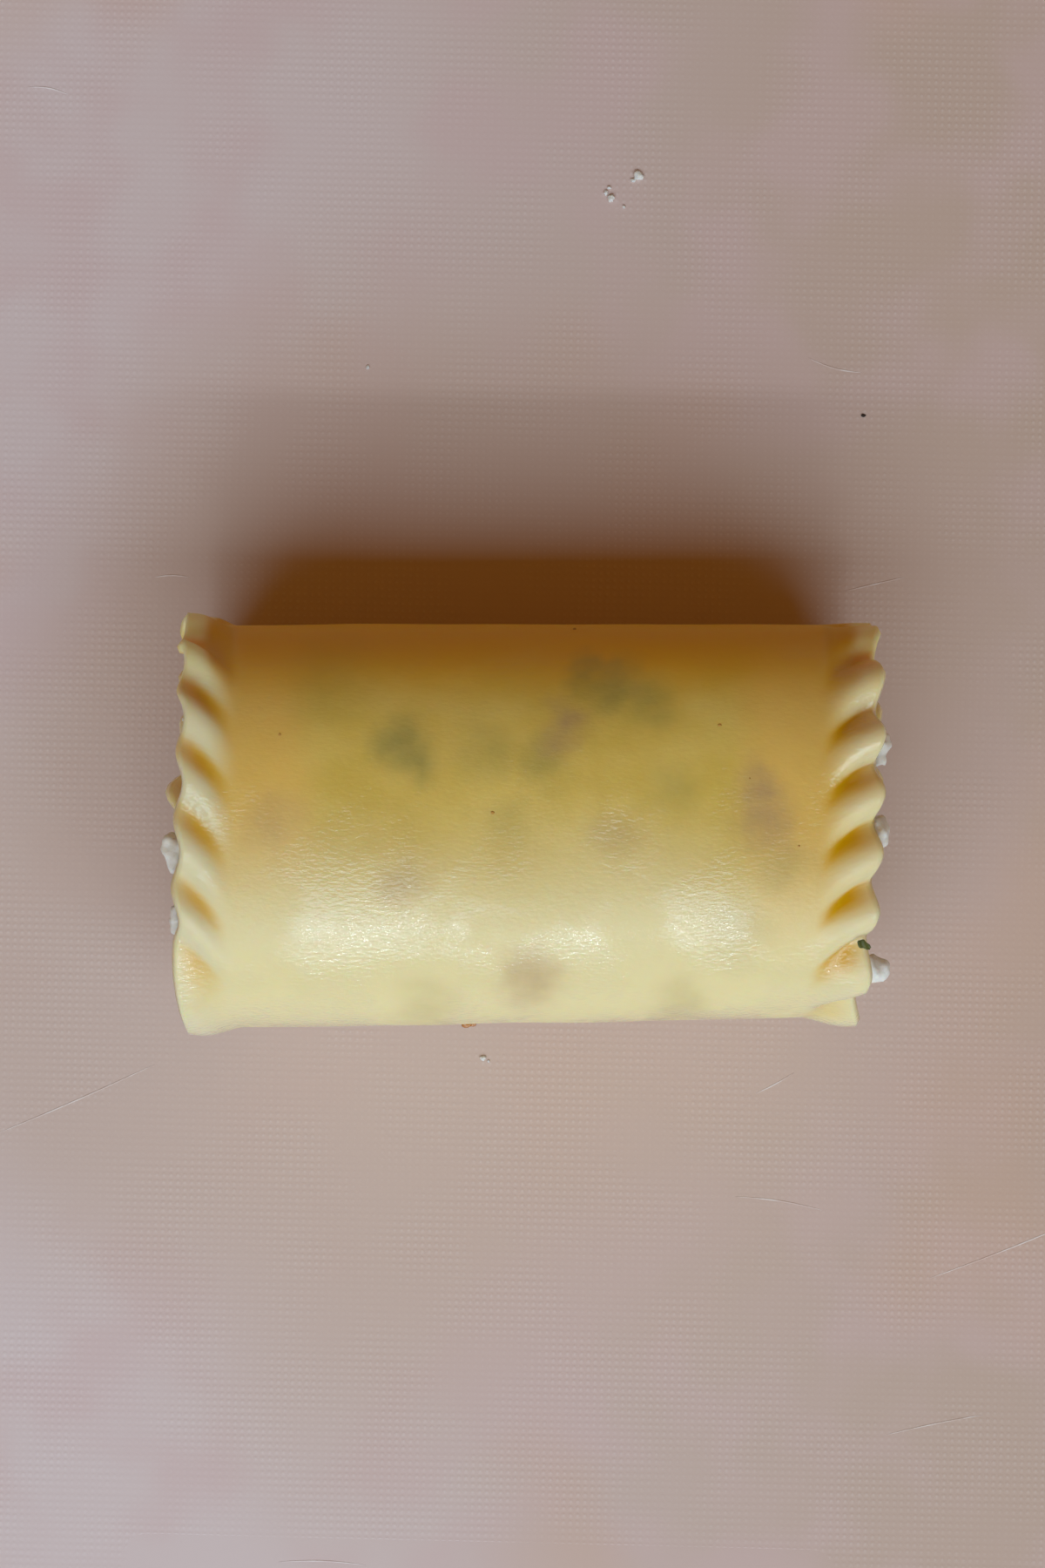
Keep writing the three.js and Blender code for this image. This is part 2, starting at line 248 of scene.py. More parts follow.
def mesh_object(name, points, faces, material):
    """A smooth mesh object from points in millimetres, with its faces turned outwards."""
    data = bpy.data.meshes.new(name)
    data.from_pydata(np.asarray(points, float) * MM, [], [[int(i) for i in face] for face in faces])
    shape = bmesh.new()
    shape.from_mesh(data)
    bmesh.ops.recalc_face_normals(shape, faces=shape.faces)
    shape.to_mesh(data)
    shape.free()
    data.shade_smooth()
    data.materials.append(material)
    made = bpy.data.objects.new(name, data)
    bpy.context.scene.collection.objects.link(made)
    return made


def dress(made, slot, *nodes):
    """Puts a piece on the object's one body and hides the solids that it stands for; its finish, `slot`, is
    not used.
    """
    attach(made, "root")
    if nodes:
        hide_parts(*nodes)
    return made


def add_floats(made, **values):
    """Adds one number to each point of a piece, under each name."""
    for name, numbers in values.items():
        attribute = made.data.attributes.new(name, "FLOAT", "POINT")
        attribute.data.foreach_set("value", np.asarray(numbers, np.float32).ravel())


def joined(parts):
    """One list of points and one of faces from several such pairs."""
    points, faces, count = [], [], 0
    for some, their_faces in parts:
        points.append(np.reshape(some, (-1, 3)))
        faces += [[i + count for i in face] for face in their_faces]
        count += len(points[-1])
    return np.concatenate(points), faces


def block(grid):
    """The closed surface of a three-way grid of points, as points and faces."""
    a, b, c = grid.shape[:3]
    index = np.arange(a * b * c).reshape(a, b, c)
    sides = [index[0], index[-1], index[:, 0], index[:, -1], index[:, :, 0], index[:, :, -1]]
    quads = [np.stack([s[:-1, :-1], s[1:, :-1], s[1:, 1:], s[:-1, 1:]], -1).reshape(-1, 4) for s in sides]
    used, faces = np.unique(np.concatenate(quads), return_inverse=True)
    return grid.reshape(-1, 3)[used], faces.reshape(-1, 4).tolist()


def ball(detail):
    """The points and faces of a unit ball of triangles."""
    shape = bmesh.new()
    bmesh.ops.create_icosphere(shape, subdivisions=detail, radius=1)
    points = np.array([v.co for v in shape.verts])
    faces = [[v.index for v in face.verts] for face in shape.faces]
    shape.free()
    return points, faces


def lump(at, radius, draw, detail=2, flat=1.0, rough=0.28):
    """An uneven ball at a point, made with numbers drawn from `draw`."""
    points, faces = ball(detail)
    stretched = points * draw.uniform(0.75, 1.2, 3) * (1, 1, flat)
    bumps = 1 + rough * uneven(points, 0.7, draw.uniform(1, 90))
    return np.asarray(at) + radius * stretched * bumps[:, None], faces


# ---- The roll's spiral, in the YZ plane ----
# `back` counts the turns back along the noodle from its outer end.
# A level is a depth below the roll's outline.


def angle_at(back):
    return SEAM_ANGLE + TAU * back


def level_at(back):
    return np.where(back < 1, SEAM_PITCH * back**3, SEAM_PITCH + TURN_PITCH * (back - 1))


def section_point(level, angle):
    """Across and up, with the section squashed towards a rounded square."""
    radius = ROLL_RADIUS - level
    above = np.sin(angle) >= 0
    height = np.where(above, UPPER.height, LOWER.height)
    power = mix(2, np.where(above, UPPER.squareness, LOWER.squareness), radius / ROLL_RADIUS)
    reach = radius * (np.abs(np.cos(angle)) ** power + np.abs(np.sin(angle)) ** power) ** (-1 / power)
    return reach * np.cos(angle), reach * np.sin(angle) * height


def spiral_table():
    back = np.arange(0, TURNS, 0.0002)
    across, up = section_point(level_at(back), angle_at(back))
    along = np.concatenate([[0], np.cumsum(np.hypot(np.diff(across), np.diff(up)))])
    ahead = -unit(np.stack([np.gradient(across, along), np.gradient(up, along)], -1))
    return SimpleNamespace(
        back=back, along=along, across=across, up=up, ahead_y=ahead[:, 0], ahead_z=ahead[:, 1]
    )


SPIRAL = spiral_table()
NOODLE_LENGTH = SPIRAL.along[-1]


def spiral_at(along):
    """Turns back, place across and up, and the way ahead at a length along the noodle."""
    columns = (SPIRAL.back, SPIRAL.across, SPIRAL.up, SPIRAL.ahead_y, SPIRAL.ahead_z)
    return [np.interp(along, SPIRAL.along, column) for column in columns]


def along_at(back):
    return np.interp(back, SPIRAL.back, SPIRAL.along)


def edge_at(edge, back, angle):
    notch = edge.notch * np.maximum(np.cos(angle - edge.notch_angle), 0) ** 4
    inner = mix(edge.inner, INNER_BACK, smooth(*STEP_BACK_TURNS, back))
    step = mix(-notch, inner, smooth(*STEP_OUT_TURNS, back))
    tuck = edge.tuck * smooth(0, -0.4, np.sin(angle))
    return edge.side * (edge.reach + edge.at_back * np.cos(angle) + step - tuck)


# ---- The noodle ----


def curls_by(edge, along):
    """How many curls an edge has had by a point along it. Past its dips they run on, a little uneven."""
    dips = np.array(edge.dips)
    before, after = along - dips[0], along - dips[-1]
    count = np.interp(along, dips, np.arange(len(dips)))
    for past in (np.minimum(before, 0), np.maximum(after, 0)):
        count = count + past / edge.wave + CURL_UNEVEN * np.sin(past / edge.wave)
    return count


def curl_lifts(back):
    """How high a curl may stand inwards and outwards, and how open it lies."""

    def half(room):
        return np.minimum(CURL_LIFT, (room * LOWER.height - EDGE_THICKNESS) / 2 - CURL_MARGIN)

    inwards = half(level_at(back + 1) - level_at(back))
    covered = np.where(back < 1, inwards, half(level_at(back) - level_at(back - 1)))
    flattened = smooth(*FACING_DOWN, -np.sin(angle_at(back)))
    free = 1 - smooth(*COVERED_TURNS, back)
    return inwards, mix(covered, mix(OPEN_LIFT, BOARD_LIFT, flattened), free), free


def curl_slant(along, edge, depth):
    """How much further ahead than its root a curl lies at a depth in from the edge."""
    from_root = np.maximum(CURL_DEPTH - depth, 0)
    from_ends = smooth(0, STRAIGHT_END, along) * smooth(NOODLE_LENGTH, NOODLE_LENGTH - STRAIGHT_END, along)
    return edge.rake * from_root * (RAKE_ROOT - RAKE_EASE * from_root) * from_ends


def noodle_middle(along, edge, depth):
    """Points of the noodle's middle surface."""
    back, across, up, ahead_y, ahead_z = spiral_at(along - curl_slant(along, edge, depth))
    inwards, outwards, free = curl_lifts(back)
    turned = TAU * curls_by(edge, along - edge.swing * depth)
    wave = CURL_STEEP * free * np.sin(2 * turned) - np.cos(turned)
    wave = wave + CREST_FULL * free * (1 - np.minimum(wave**2, 1))
    size = 1 + CURL_UNEVEN * np.sin(along / SIZE_WAVE + 2 * edge.side)
    facing = np.cos(angle_at(back))
    flare = np.where(facing > 0, *edge.flare) * free * facing**4
    fade = smooth(CURL_DEPTH, CURL_FULL, depth)
    share = fade * mix(1, edge.height, free)
    lift = share * wave * np.where(wave > 0, size * outwards + flare, inwards)
    lean = CURL_LEAN * free * lift
    scallop = -edge.scallop * np.cos(turned + TAU * edge.scallop_turn * free)
    x = edge_at(edge, back, angle_at(back)) + edge.side * (scallop * fade - depth)
    y = across - ahead_z * lift - ahead_y * lean
    z = up + ahead_y * lift - ahead_z * lean
    y = np.where(y < 0, y * (1 - NARROWING * x), y)
    return np.stack([x, y, z], -1)


def curl_shades(along, edge, depth):
    """How much painted golden shade the noodle has in its dips, and how pale its crests are, at each point.

    The gold is strongest a little in from the edge, and reaches further in than the pale crests. The pale is
    partly the crests' own thinner pasta and partly painted light, more of it at the thin rim.
    """
    past_dip = curls_by(edge, along - edge.swing * depth) % 1
    from_dip = (past_dip + 0.5) % 1 - 0.5
    start, end = edge.gold_from, edge.gold_to
    gold = smooth(start, start + GOLD_RISE, from_dip) * smooth(end, end - GOLD_FALL, from_dip)
    gold = edge.gold * gold * smooth(edge.gold_in, edge.gold_in - GOLD_ROOT, depth) * smooth(*GOLD_RIM, depth)
    pale = smooth(end - PALE_RISE, end + PALE_RISE, past_dip) * smooth(1, 0.8, past_dip)
    pale = pale * smooth(CURL_DEPTH + 0.3, 1.6, depth)
    return gold, edge.crest * mix(pale, 1, 0.5 * smooth(*PALE_RIM, depth))


def stations():
    """The lengths along the noodle at which it has a row of points."""
    outer = np.arange(0, along_at(1.05), OUTER_STEP)
    inner = np.arange(outer[-1] + INNER_STEP, NOODLE_LENGTH, INNER_STEP)
    return np.concatenate([outer, inner, [NOODLE_LENGTH]])


def noodle_grid():
    """Its middle and both faces as grids of points, their lengths along it and their depths."""
    along = stations()[:, None]
    depths = CURL_DEPTH * np.linspace(0, 1, CURL_ROWS)[None, :]
    left = noodle_middle(along, LEFT, depths)
    right = noodle_middle(along, RIGHT, depths[:, ::-1])
    share = np.linspace(0, 1, MIDDLE_ROWS + 2)[1:-1]
    middle = np.concatenate([left, mix(left[:, -1:], right[:, :1], share[None, :, None]), right], 1)
    deep = CURL_DEPTH + MIDDLE_ROWS * np.minimum(share, 1 - share)
    depth = np.concatenate([depths[0], deep, depths[0, ::-1]])

    onwards = -np.gradient(middle, axis=0)
    sideways = np.gradient(middle, axis=1)
    _, _, _, ahead_y, ahead_z = spiral_at(along)
    plain = np.concatenate([0 * ahead_y, -ahead_z, ahead_y], -1)[:, None, :]
    normal = unit(mix(unit(np.cross(sideways, onwards)), plain, PLAIN_SHARE))
    middle = middle + plain * DENT_DEPTH * uneven(middle, DENT_LENGTH, 1)[..., None]
    thickness = mix(EDGE_THICKNESS, NOODLE_THICKNESS, smooth(0, CURL_DEPTH, depth))[..., None]
    return SimpleNamespace(
        along=along[:, 0], middle=middle, inside=middle - normal * thickness / 2,
        outside=middle + normal * thickness / 2, depth=depth,
    )


def settle(grid):
    """Gives the roll exactly the solid's height, and says where it then lies on the board."""
    solid_low, solid_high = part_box("pasta_noodle")
    low, high = grid.outside[..., 2].min(), grid.outside[..., 2].max()
    squash = (solid_high[2] - solid_low[2]) / MM / (high - low)
    for face in (grid.middle, grid.inside, grid.outside):
        face[..., 2] *= squash
    return np.array([*ROLL_AT, solid_low[2] / MM - low * squash])


def shows_through(grid, spots):
    """How strongly the filling's bits show at each point of the outermost turn's top, with ragged edges."""
    x, y, z = np.moveaxis(grid.middle, -1, 0)
    ragged_x = x + 1.1 * uneven(grid.middle, 3, 6) + 0.5 * uneven(grid.middle, 1.2, 7)
    ragged_y = y + 1.1 * uneven(grid.middle, 3, 8) + 0.5 * uneven(grid.middle, 1.2, 9)
    total = np.zeros(x.shape)
    for spot_x, spot_y, radius, strength in spots:
        distance = np.hypot(ragged_x - spot_x, ragged_y - spot_y) / radius
        total = np.maximum(total, strength * smooth(1.9, 0.1, distance))
    on_top = smooth(0, 3, z) * (grid.along[:, None] < along_at(1))
    return total * on_top


def shades(grid):
    """The painted golden shade of the dips and the paleness of the crests, at each point.

    Towards the lit front the painted shade of the dips is weaker. What faces the back, away from the lamps in
    front, gets painted golden shade too, and the crests of the inner turns, which lie in shade, are painted
    less pale.
    """
    along = grid.along[:, None]
    half = len(grid.depth) // 2
    left = curl_shades(along, LEFT, grid.depth[None, :half])
    right = curl_shades(along, RIGHT, grid.depth[None, half:])
    gold, pale = [np.concatenate(pair, 1) for pair in zip(left, right)]
    # The dips' painted shade is weaker towards the front, where the lamps reach them.
    at_front = np.where(grid.middle[..., 0] < 0, LEFT.gold_at_front, RIGHT.gold_at_front)
    gold = gold * mix(1, at_front, smooth(*WEAK_GOLD, grid.middle[..., 1]))
    # Curl faces turned to the back, away from the lamps, get painted golden shade.
    facing_back = unit(grid.outside - grid.inside)[..., 1]
    in_curls = smooth(CURL_DEPTH, CURL_DEPTH - 1, grid.depth) * smooth(*FACING_BACK_IN, grid.depth)
    gold = np.maximum(gold, in_curls * smooth(*FACING_BACK, facing_back))
    # Inner turns lie in shade, so their crests are painted less pale.
    outermost = along < along_at(1)
    return gold, pale * np.where(outermost, 1, INNER_PALE)


def backed(grid):
    """How much paler the noodle is painted, as painted light: little at the back, most at the front, which
    faces the lamps.
    """
    x, y, _ = np.moveaxis(grid.middle, -1, 0)
    y = y + 1.5 * uneven(grid.middle, 12, 5) + PALE_LATER * smooth(*RIGHT_END, x)
    outermost = grid.along[:, None] < along_at(1)
    return np.where(outermost, smooth(*PALE_FRONT, y), 0.5)


def noodle(grid, place):
    columns = grid.middle.shape[1]
    count = 2 * columns + 2
    bulge = np.array([EDGE_ROUND, 0, 0])
    rings = np.concatenate(
        [grid.inside, grid.middle[:, -1:] + bulge, grid.outside[:, ::-1], grid.middle[:, :1] - bulge], 1
    )
    corner = np.arange(count)
    beside = (corner + 1) % count
    faces = []
    for row in range(len(rings) - 1):
        here, there = row * count, (row + 1) * count
        faces += np.stack([here + corner, here + beside, there + beside, there + corner], -1).tolist()
    for start in (0, (len(rings) - 1) * count):
        for j in range(columns - 1):
            faces.append([start + j, start + j + 1, start + 2 * columns - j - 1, start + 2 * columns - j])
        faces.append([start + columns - 1, start + columns, start + columns + 1])
        faces.append([start + count - 1, start, start + 2 * columns])
    made = mesh_object("lasagna_noodle", rings.reshape(-1, 3) + place, faces, boiled_pasta())

    def round_ring(values):
        return np.concatenate([values, values[:, -1:], values[:, ::-1], values[:, :1]], 1)

    gold, pale = shades(grid)
    add_floats(
        made,
        gold=round_ring(gold),
        pale=round_ring(pale),
        herb=round_ring(shows_through(grid, HERB_SPOTS)),
        ham=round_ring(shows_through(grid, HAM_SPOTS)),
        # Painted light: paler towards the front, which faces the lamps.
        backed=round_ring(backed(grid)),
        # Painted shade: golden brown on the roll's back, away from the lamps.
        behind=round_ring(smooth(*GOLD_BACK, grid.middle[..., 1] + 0.8 * uneven(grid.middle, 9, 12))),
        thin=round_ring(smooth(*THIN_ENDS, np.abs(grid.middle[..., 0]) + uneven(grid.middle, 8, 13))),
    )
    return dress(made, "boiled_pasta", "pasta_noodle")


# ---- The ricotta ----


def gap_between_turns(grid, back, column, rows):
    """Points across the gap between a turn and the next one in, at one of the noodle's columns."""
    edge = LEFT if column < grid.middle.shape[1] / 2 else RIGHT
    slant = curl_slant(along_at(back), edge, grid.depth[column])
    outer = [np.interp(along_at(back) + slant, grid.along, grid.inside[:, column, k]) for k in range(3)]
    inner = [np.interp(along_at(back + 1) + slant, grid.along, grid.outside[:, column, k]) for k in range(3)]
    share = np.linspace(0.03, 0.97, rows)[None, :, None]
    return mix(np.stack(outer, -1)[:, None], np.stack(inner, -1)[:, None], share)


def core_disc(grid, column, rows):
    """Points from the innermost turn to the middle of the roll, at one of the noodle's columns."""
    edge = LEFT if column < grid.middle.shape[1] / 2 else RIGHT
    back = np.linspace(TURNS - 1, TURNS, 40)
    slant = curl_slant(along_at(back), edge, grid.depth[column])
    rim = [np.interp(along_at(back) + slant, grid.along, grid.inside[:, column, k]) for k in range(3)]
    rim = np.stack(rim, -1)[:, None]
    middle = rim * (1, 0.05, 0.05)
    return mix(middle, rim, np.linspace(0.02, 0.97, rows)[None, :, None])


def filling_blocks(grid, columns, rows):
    """The filling between two columns of the noodle, as a strip between its turns and a core."""
    back = np.linspace(SEAM_BARE, TURNS - 1, 150)
    strip = np.stack([gap_between_turns(grid, back, column, rows) for column in columns], 1)
    core = np.stack([core_disc(grid, column, rows) for column in columns], 1)
    return [block(strip), block(core)]


def column_at(grid, edge, depth):
    """The noodle's column that is nearest to a depth in from one edge."""
    column = int(np.argmin(np.abs(grid.depth[:CURL_ROWS] - depth)))
    return column if edge is LEFT else grid.middle.shape[1] - 1 - column


def end_curds(grid, edge, draw):
    """Loose curds over one end of the filling."""
    near = column_at(grid, edge, FILLING_SHORT)
    back = np.sort(draw.uniform(SEAM_BARE, TURNS - 1, CURDS_PER_END))
    gap = gap_between_turns(grid, back, near, 9)
    wide = np.linalg.norm(gap[:, -1] - gap[:, 0], axis=-1)
    lumps = []
    for i, row in enumerate(draw.integers(1, 8, CURDS_PER_END)):
        radius = min(draw.uniform(*CURD_RADIUS), 0.42 * wide[i])
        at = gap[i, row] + (edge.side * draw.uniform(-0.7, 0.5), 0, 0)
        lumps.append(lump(at, radius, draw, 1))
    rim = core_disc(grid, near, 6)
    for _ in range(CURDS_PER_END // 5):
        at = rim[draw.integers(0, len(rim)), draw.integers(0, 6)]
        at = at + (edge.side * draw.uniform(-0.6, 0.4), 0, 0)
        lumps.append(lump(at, draw.uniform(*CORE_CURD_RADIUS), draw, 1))
    return lumps


def standing_lump(edge, degrees, radius, past, above):
    """The middle of a lump that starts half-way between the outermost turn and the next."""
    angle = math.radians(degrees)
    back = np.array((angle - SEAM_ANGLE) / TAU)
    across, up = section_point((level_at(back) + level_at(back + 1)) / 2 - above, angle)
    x = edge_at(edge, back, angle) + edge.side * (past - radius)
    return np.array([x, across * (1 - NARROWING * x) if across < 0 else across, up])


def standing_curds(draw):
    lumps = []
    for edge, degrees, radius, past, above in RICOTTA_LUMPS:
        middle = standing_lump(edge, degrees, radius, past, above)
        lumps.append(lump(middle, 0.8 * radius, draw))
        for _ in range(int(7 * radius)):
            way = unit(draw.normal(size=3) + (edge.side, 0, 0))
            lumps.append(lump(middle + 0.75 * radius * way, radius * draw.uniform(0.25, 0.5), draw, 1))
    return lumps


def melted(made, voxel):
    """Joins what overlaps in a mesh object into one skin, and gives its points and faces in millimetres."""
    remesh = made.modifiers.new("melt", "REMESH")
    remesh.mode = "VOXEL"
    remesh.voxel_size = voxel * MM
    soften = made.modifiers.new("soften", "SMOOTH")
    soften.factor = 0.5
    soften.iterations = 1
    skin = bpy.data.meshes.new_from_object(made.evaluated_get(bpy.context.evaluated_depsgraph_get()))
    bpy.data.objects.remove(made)
    points = np.zeros(3 * len(skin.vertices))
    skin.vertices.foreach_get("co", points)
    normals = np.zeros(3 * len(skin.vertices))
    skin.vertices.foreach_get("normal", normals)
    faces = [list(face.vertices) for face in skin.polygons]
    return points.reshape(-1, 3) / MM, normals.reshape(-1, 3), faces


def ricotta(grid, place):
    draw = np.random.default_rng(11)
    columns = grid.middle.shape[1]
    first = column_at(grid, LEFT, FILLING_SHORT + VOXEL)
    left_end = [*range(first, CURL_ROWS, 3), CURL_ROWS - 1]
    right_end = [columns - 1 - column for column in left_end]
    ends = joined([
        *filling_blocks(grid, left_end, 4),
        *filling_blocks(grid, right_end, 4),
        *end_curds(grid, LEFT, draw),
        *end_curds(grid, RIGHT, draw),
        *standing_curds(draw),
    ])
    material = ricotta_curds()
    points, normals, faces = melted(mesh_object("curds", *ends, material), VOXEL)
    grain = 0.1 * uneven(points, 0.9, 3) + 0.05 * uneven(points, 0.4, 4)
    hidden = filling_blocks(grid, [CURL_ROWS - 2, columns // 2, columns - CURL_ROWS + 1], 2)
    whole = joined([(points + normals * grain[:, None], faces), *hidden])
    made = mesh_object("ricotta", whole[0] + place, whole[1], material)
    return dress(made, "ricotta", "ricotta_filling")


# ---- Herbs and ham in the filling's ends ----


def turned(points, draw, way=None):
    """The points turned at random about the origin, or flat with their length along a way."""
    first = unit(draw.normal(size=3)) if way is None else unit(np.array(way))
    second = unit(np.cross(first, draw.normal(size=3))) if way is None else unit(np.cross((0, 0, 1), first))
    return points @ np.stack([first, second, np.cross(first, second)])


def leaf_scrap(at, length, draw, way=None):
    """A chopped, curled scrap of leaf, thinner towards its torn outline."""
    u, v, w = np.meshgrid(np.linspace(-1, 1, 9), np.linspace(-1, 1, 7), [-1, 1], indexing="ij")
    width = 0.55 * (1 - 0.75 * u**2) * (1 + 0.2 * np.sin(5 * u + draw.uniform(0, 6)))
    bend = 0.35 * u**2 + 0.3 * (v * width) ** 2 + 0.08 * np.sin(6 * u + 4 * v)
    shape = np.stack([u, v * width, bend + w * 0.06 / length * (1.2 - np.abs(v))], -1)
    return at + turned(shape.reshape(-1, 3) * length / 2, draw, way).reshape(shape.shape)


def ham_chunk(at, length, draw):
    """A small cube of ham with rounded corners."""
    u, v, w = np.meshgrid(*[np.linspace(-1, 1, 6)] * 3, indexing="ij")
    shape = np.stack([u, v, w], -1)
    rounded = mix(shape, unit(shape) * 1.1, 0.35) * draw.uniform(0.6, 1.1, 3)
    rounded = rounded * (1 + 0.12 * uneven(rounded, 0.8, draw.uniform(1, 90)))[..., None]
    return at + turned(rounded.reshape(-1, 3) * length / 2, draw).reshape(shape.shape)


def bits_at_ends(grid, count, draw, depth_from, depth_to):
    """Places on the two ends of the filling."""
    columns = grid.middle.shape[1]
    places = []
    for column, side in ((BITS_COLUMN, -1), (columns - 1 - BITS_COLUMN, 1)):
        back = draw.uniform(0.2, TURNS - 1.1, count)
        gap = gap_between_turns(grid, back, column, 5)
        for i in range(count):
            places.append(gap[i, draw.integers(1, 4)] + (side * draw.uniform(depth_from, depth_to), 0, 0))
    return places


def herbs(grid, place):
    draw = np.random.default_rng(23)
    scraps = [leaf_scrap(at, draw.uniform(1.6, 3.4), draw) for at in bits_at_ends(grid, 16, draw, -0.2, 0.7)]
    scraps.append(leaf_scrap(np.array(LEAF_ON_EDGE), 1.4, draw, (0.85, -0.45, -0.35)))
    points, faces = joined([block(scrap) for scrap in scraps])
    return dress(mesh_object("chopped_herbs", points + place, faces, wilted_leaf()), "herb_leaf")


def ham(grid, place):
    draw = np.random.default_rng(29)
    chunks = [ham_chunk(at, draw.uniform(1.3, 2.4), draw) for at in bits_at_ends(grid, 9, draw, -0.5, 0.2)]
    points, faces = joined([block(chunk) for chunk in chunks])
    return dress(mesh_object("ham_cubes", points + place, faces, cooked_ham()), "ham")


# ---- Specks on the noodle, and what lies on the board ----


def top_of_noodle(grid, x, y):
    """The point of the outermost turn's outer face over a place on the roll."""
    outermost = grid.along < along_at(1)
    face = grid.outside[outermost].reshape(-1, 3)
    face = face[face[:, 2] > 0]
    return face[np.argmin(np.hypot(face[:, 0] - x, face[:, 1] - y))]


def bran_specks(grid, place):
    draw = np.random.default_rng(31)
    specks = [lump(top_of_noodle(grid, x, y), draw.uniform(0.1, 0.17), draw, 2, 0.25) for x, y in BRAN_SPECKS]
    points, faces = joined(specks)
    return dress(mesh_object("bran_specks", points + place, faces, toasted_bran()), "boiled_pasta")


def board_bits(name, bits, flat, material, slot, seed):
    """Small uneven bits that lie on the board."""
    draw = np.random.default_rng(seed)
    lumps = [lump((x, y, BOARD_THICKNESS + 0.6 * r * flat), r, draw, 3, flat, 0.5) for x, y, r in bits]
    return dress(mesh_object(name, *joined(lumps), material), slot)


# ---- The board ----


def rounded_rectangle(half, corner, inset, steps):
    """The outline of a rectangle about the middle, with round corners, moved in by an inset."""
    outline = []
    for quarter, (side_x, side_y) in enumerate([(1, 1), (-1, 1), (-1, -1), (1, -1)]):
        x, y = side_x * (half[0] - corner), side_y * (half[1] - corner)
        for angle in np.linspace(0, TAU / 4, steps) + quarter * TAU / 4:
            outline.append((x + (corner - inset) * math.cos(angle), y + (corner - inset) * math.sin(angle)))
    return outline


def board():
    """A flat plate with round corners and rounded edges."""
    half = (BOARD_WIDTH / 2, BOARD_LENGTH / 2)
    turn = np.linspace(0, TAU / 4, 7)
    upper = [(BOARD_EDGE * (1 - math.cos(a)), BOARD_THICKNESS - BOARD_EDGE * (1 - math.sin(a))) for a in turn]
    profile = [(inset, BOARD_THICKNESS - z) for inset, z in reversed(upper)] + upper
    rings = [[(x, y, z) for x, y in rounded_rectangle(half, BOARD_CORNER, inset, 16)] for inset, z in profile]
    count = len(rings[0])
    points = np.concatenate(rings)
    faces = [list(range(count)), list(range(len(points) - count, len(points)))]
    for ring in range(len(rings) - 1):
        for i in range(count):
            a, b = ring * count + i, ring * count + (i + 1) % count
            faces.append([a, b, b + count, a + count])
    made = mesh_object("board", points, faces, knurled_polyethylene())
    for face in made.data.polygons:
        face.use_smooth = len(face.vertices) == 4
    return dress(made, "board_plastic", "cutting_board")


def knife_marks():
    """Shallow burrs that a knife has raised: long slivers, pointed at both ends."""
    draw = np.random.default_rng(37)
    slivers = []
    for start, end in KNIFE_MARKS:
        start, end = np.array([*start, 0.0]), np.array([*end, 0.0])
        along = np.linspace(0, 1, 13)
        line = mix(start, end, along[:, None])
        side = unit(np.cross(end - start, (0, 0, 1)))
        bow = draw.uniform(-0.3, 0.3) * np.sin(math.pi * along)
        width = MARK_WIDTH / 2 * np.sin(math.pi * along) ** 0.5 + 0.01
        across = np.array([-1, 0, 1])[None, :, None, None]
        offset = bow[:, None, None, None] + width[:, None, None, None] * across
        rise = np.array([-0.02, 0.012])[None, None, :, None] * (1 - 0.6 * across**2)
        grid = line[:, None, None, :] + side * offset + np.array([0, 0, 1]) * (BOARD_THICKNESS + rise)
        slivers.append(block(grid))
    return dress(mesh_object("knife_marks", *joined(slivers), scraped_polyethylene()), "board_plastic")


# ---- Materials ----


def linear(code, alpha=1.0):
    """A colour for a shader from its sRGB hex code."""
    parts = [int(code[i : i + 2], 16) / 255 for i in (1, 3, 5)]
    return (*[c / 12.92 if c <= 0.04045 else ((c + 0.055) / 1.055) ** 2.4 for c in parts], alpha)


def per_metre(length):
    """The scale of a pattern whose details are that many millimetres long."""
    return 1 / (length * MM)


def add(tree, kind, inputs=None, **settings):
    """Adds a node with its settings.

    An input goes by its name, or by its number where two have the same name. It gets a value, an output, or
    the first output of a node.
    """
    node = tree.nodes.new("ShaderNode" + kind)
    for name, value in settings.items():
        setattr(node, name, value)
    in_use = [socket for socket in node.inputs if socket.enabled]
    for name, value in (inputs or {}).items():
        socket = in_use[name] if isinstance(name, int) else next(s for s in in_use if s.name == name)
        if isinstance(value, bpy.types.Node):
            value = next(output for output in value.outputs if output.enabled)
        if isinstance(value, bpy.types.NodeSocket):
            tree.links.new(value, socket)
        else:
            socket.default_value = value
    return node


def new_material(name):
    """An empty material, with its node tree and the place of each point in metres."""
    material = bpy.data.materials.new(name)
    material.use_nodes = True
    tree = material.node_tree
    tree.nodes.clear()
    return material, tree, add(tree, "TexCoord").outputs["Object"]


# Settings that many nodes share: a range that rises smoothly, and a mix of colours
SMOOTH = {"interpolation_type": "SMOOTHSTEP"}
COLOURS = {"data_type": "RGBA"}


def patchy(tree, place, length, first, second, spread):
    """A colour with patches of a second one, that many millimetres across.

    `spread` says at which strengths of a soft noise the second colour begins and is full.
    """
    noise_here = add(tree, "TexNoise", {"Vector": place, "Scale": per_metre(length), "Detail": 3})
    rising = {"Value": noise_here, "From Min": spread[0], "From Max": spread[1]}
    share = add(tree, "MapRange", rising, **SMOOTH)
    return add(tree, "Mix", {"Factor": share, "A": linear(first), "B": linear(second)}, **COLOURS)


def two_shades(name, length, first, second, finish):
    """A plain material that wavers between two shades, with a finish in the shader's own inputs."""
    material, tree, place = new_material(name)
    wavering = add(tree, "TexNoise", {"Vector": place, "Scale": per_metre(length), "Detail": 3})
    colour = {"Factor": wavering, "A": linear(first), "B": linear(second)}
    surface = {"Base Color": add(tree, "Mix", colour, **COLOURS), **finish}
    add(tree, "OutputMaterial", {"Surface": add(tree, "BsdfPrincipled", surface)})
    return material


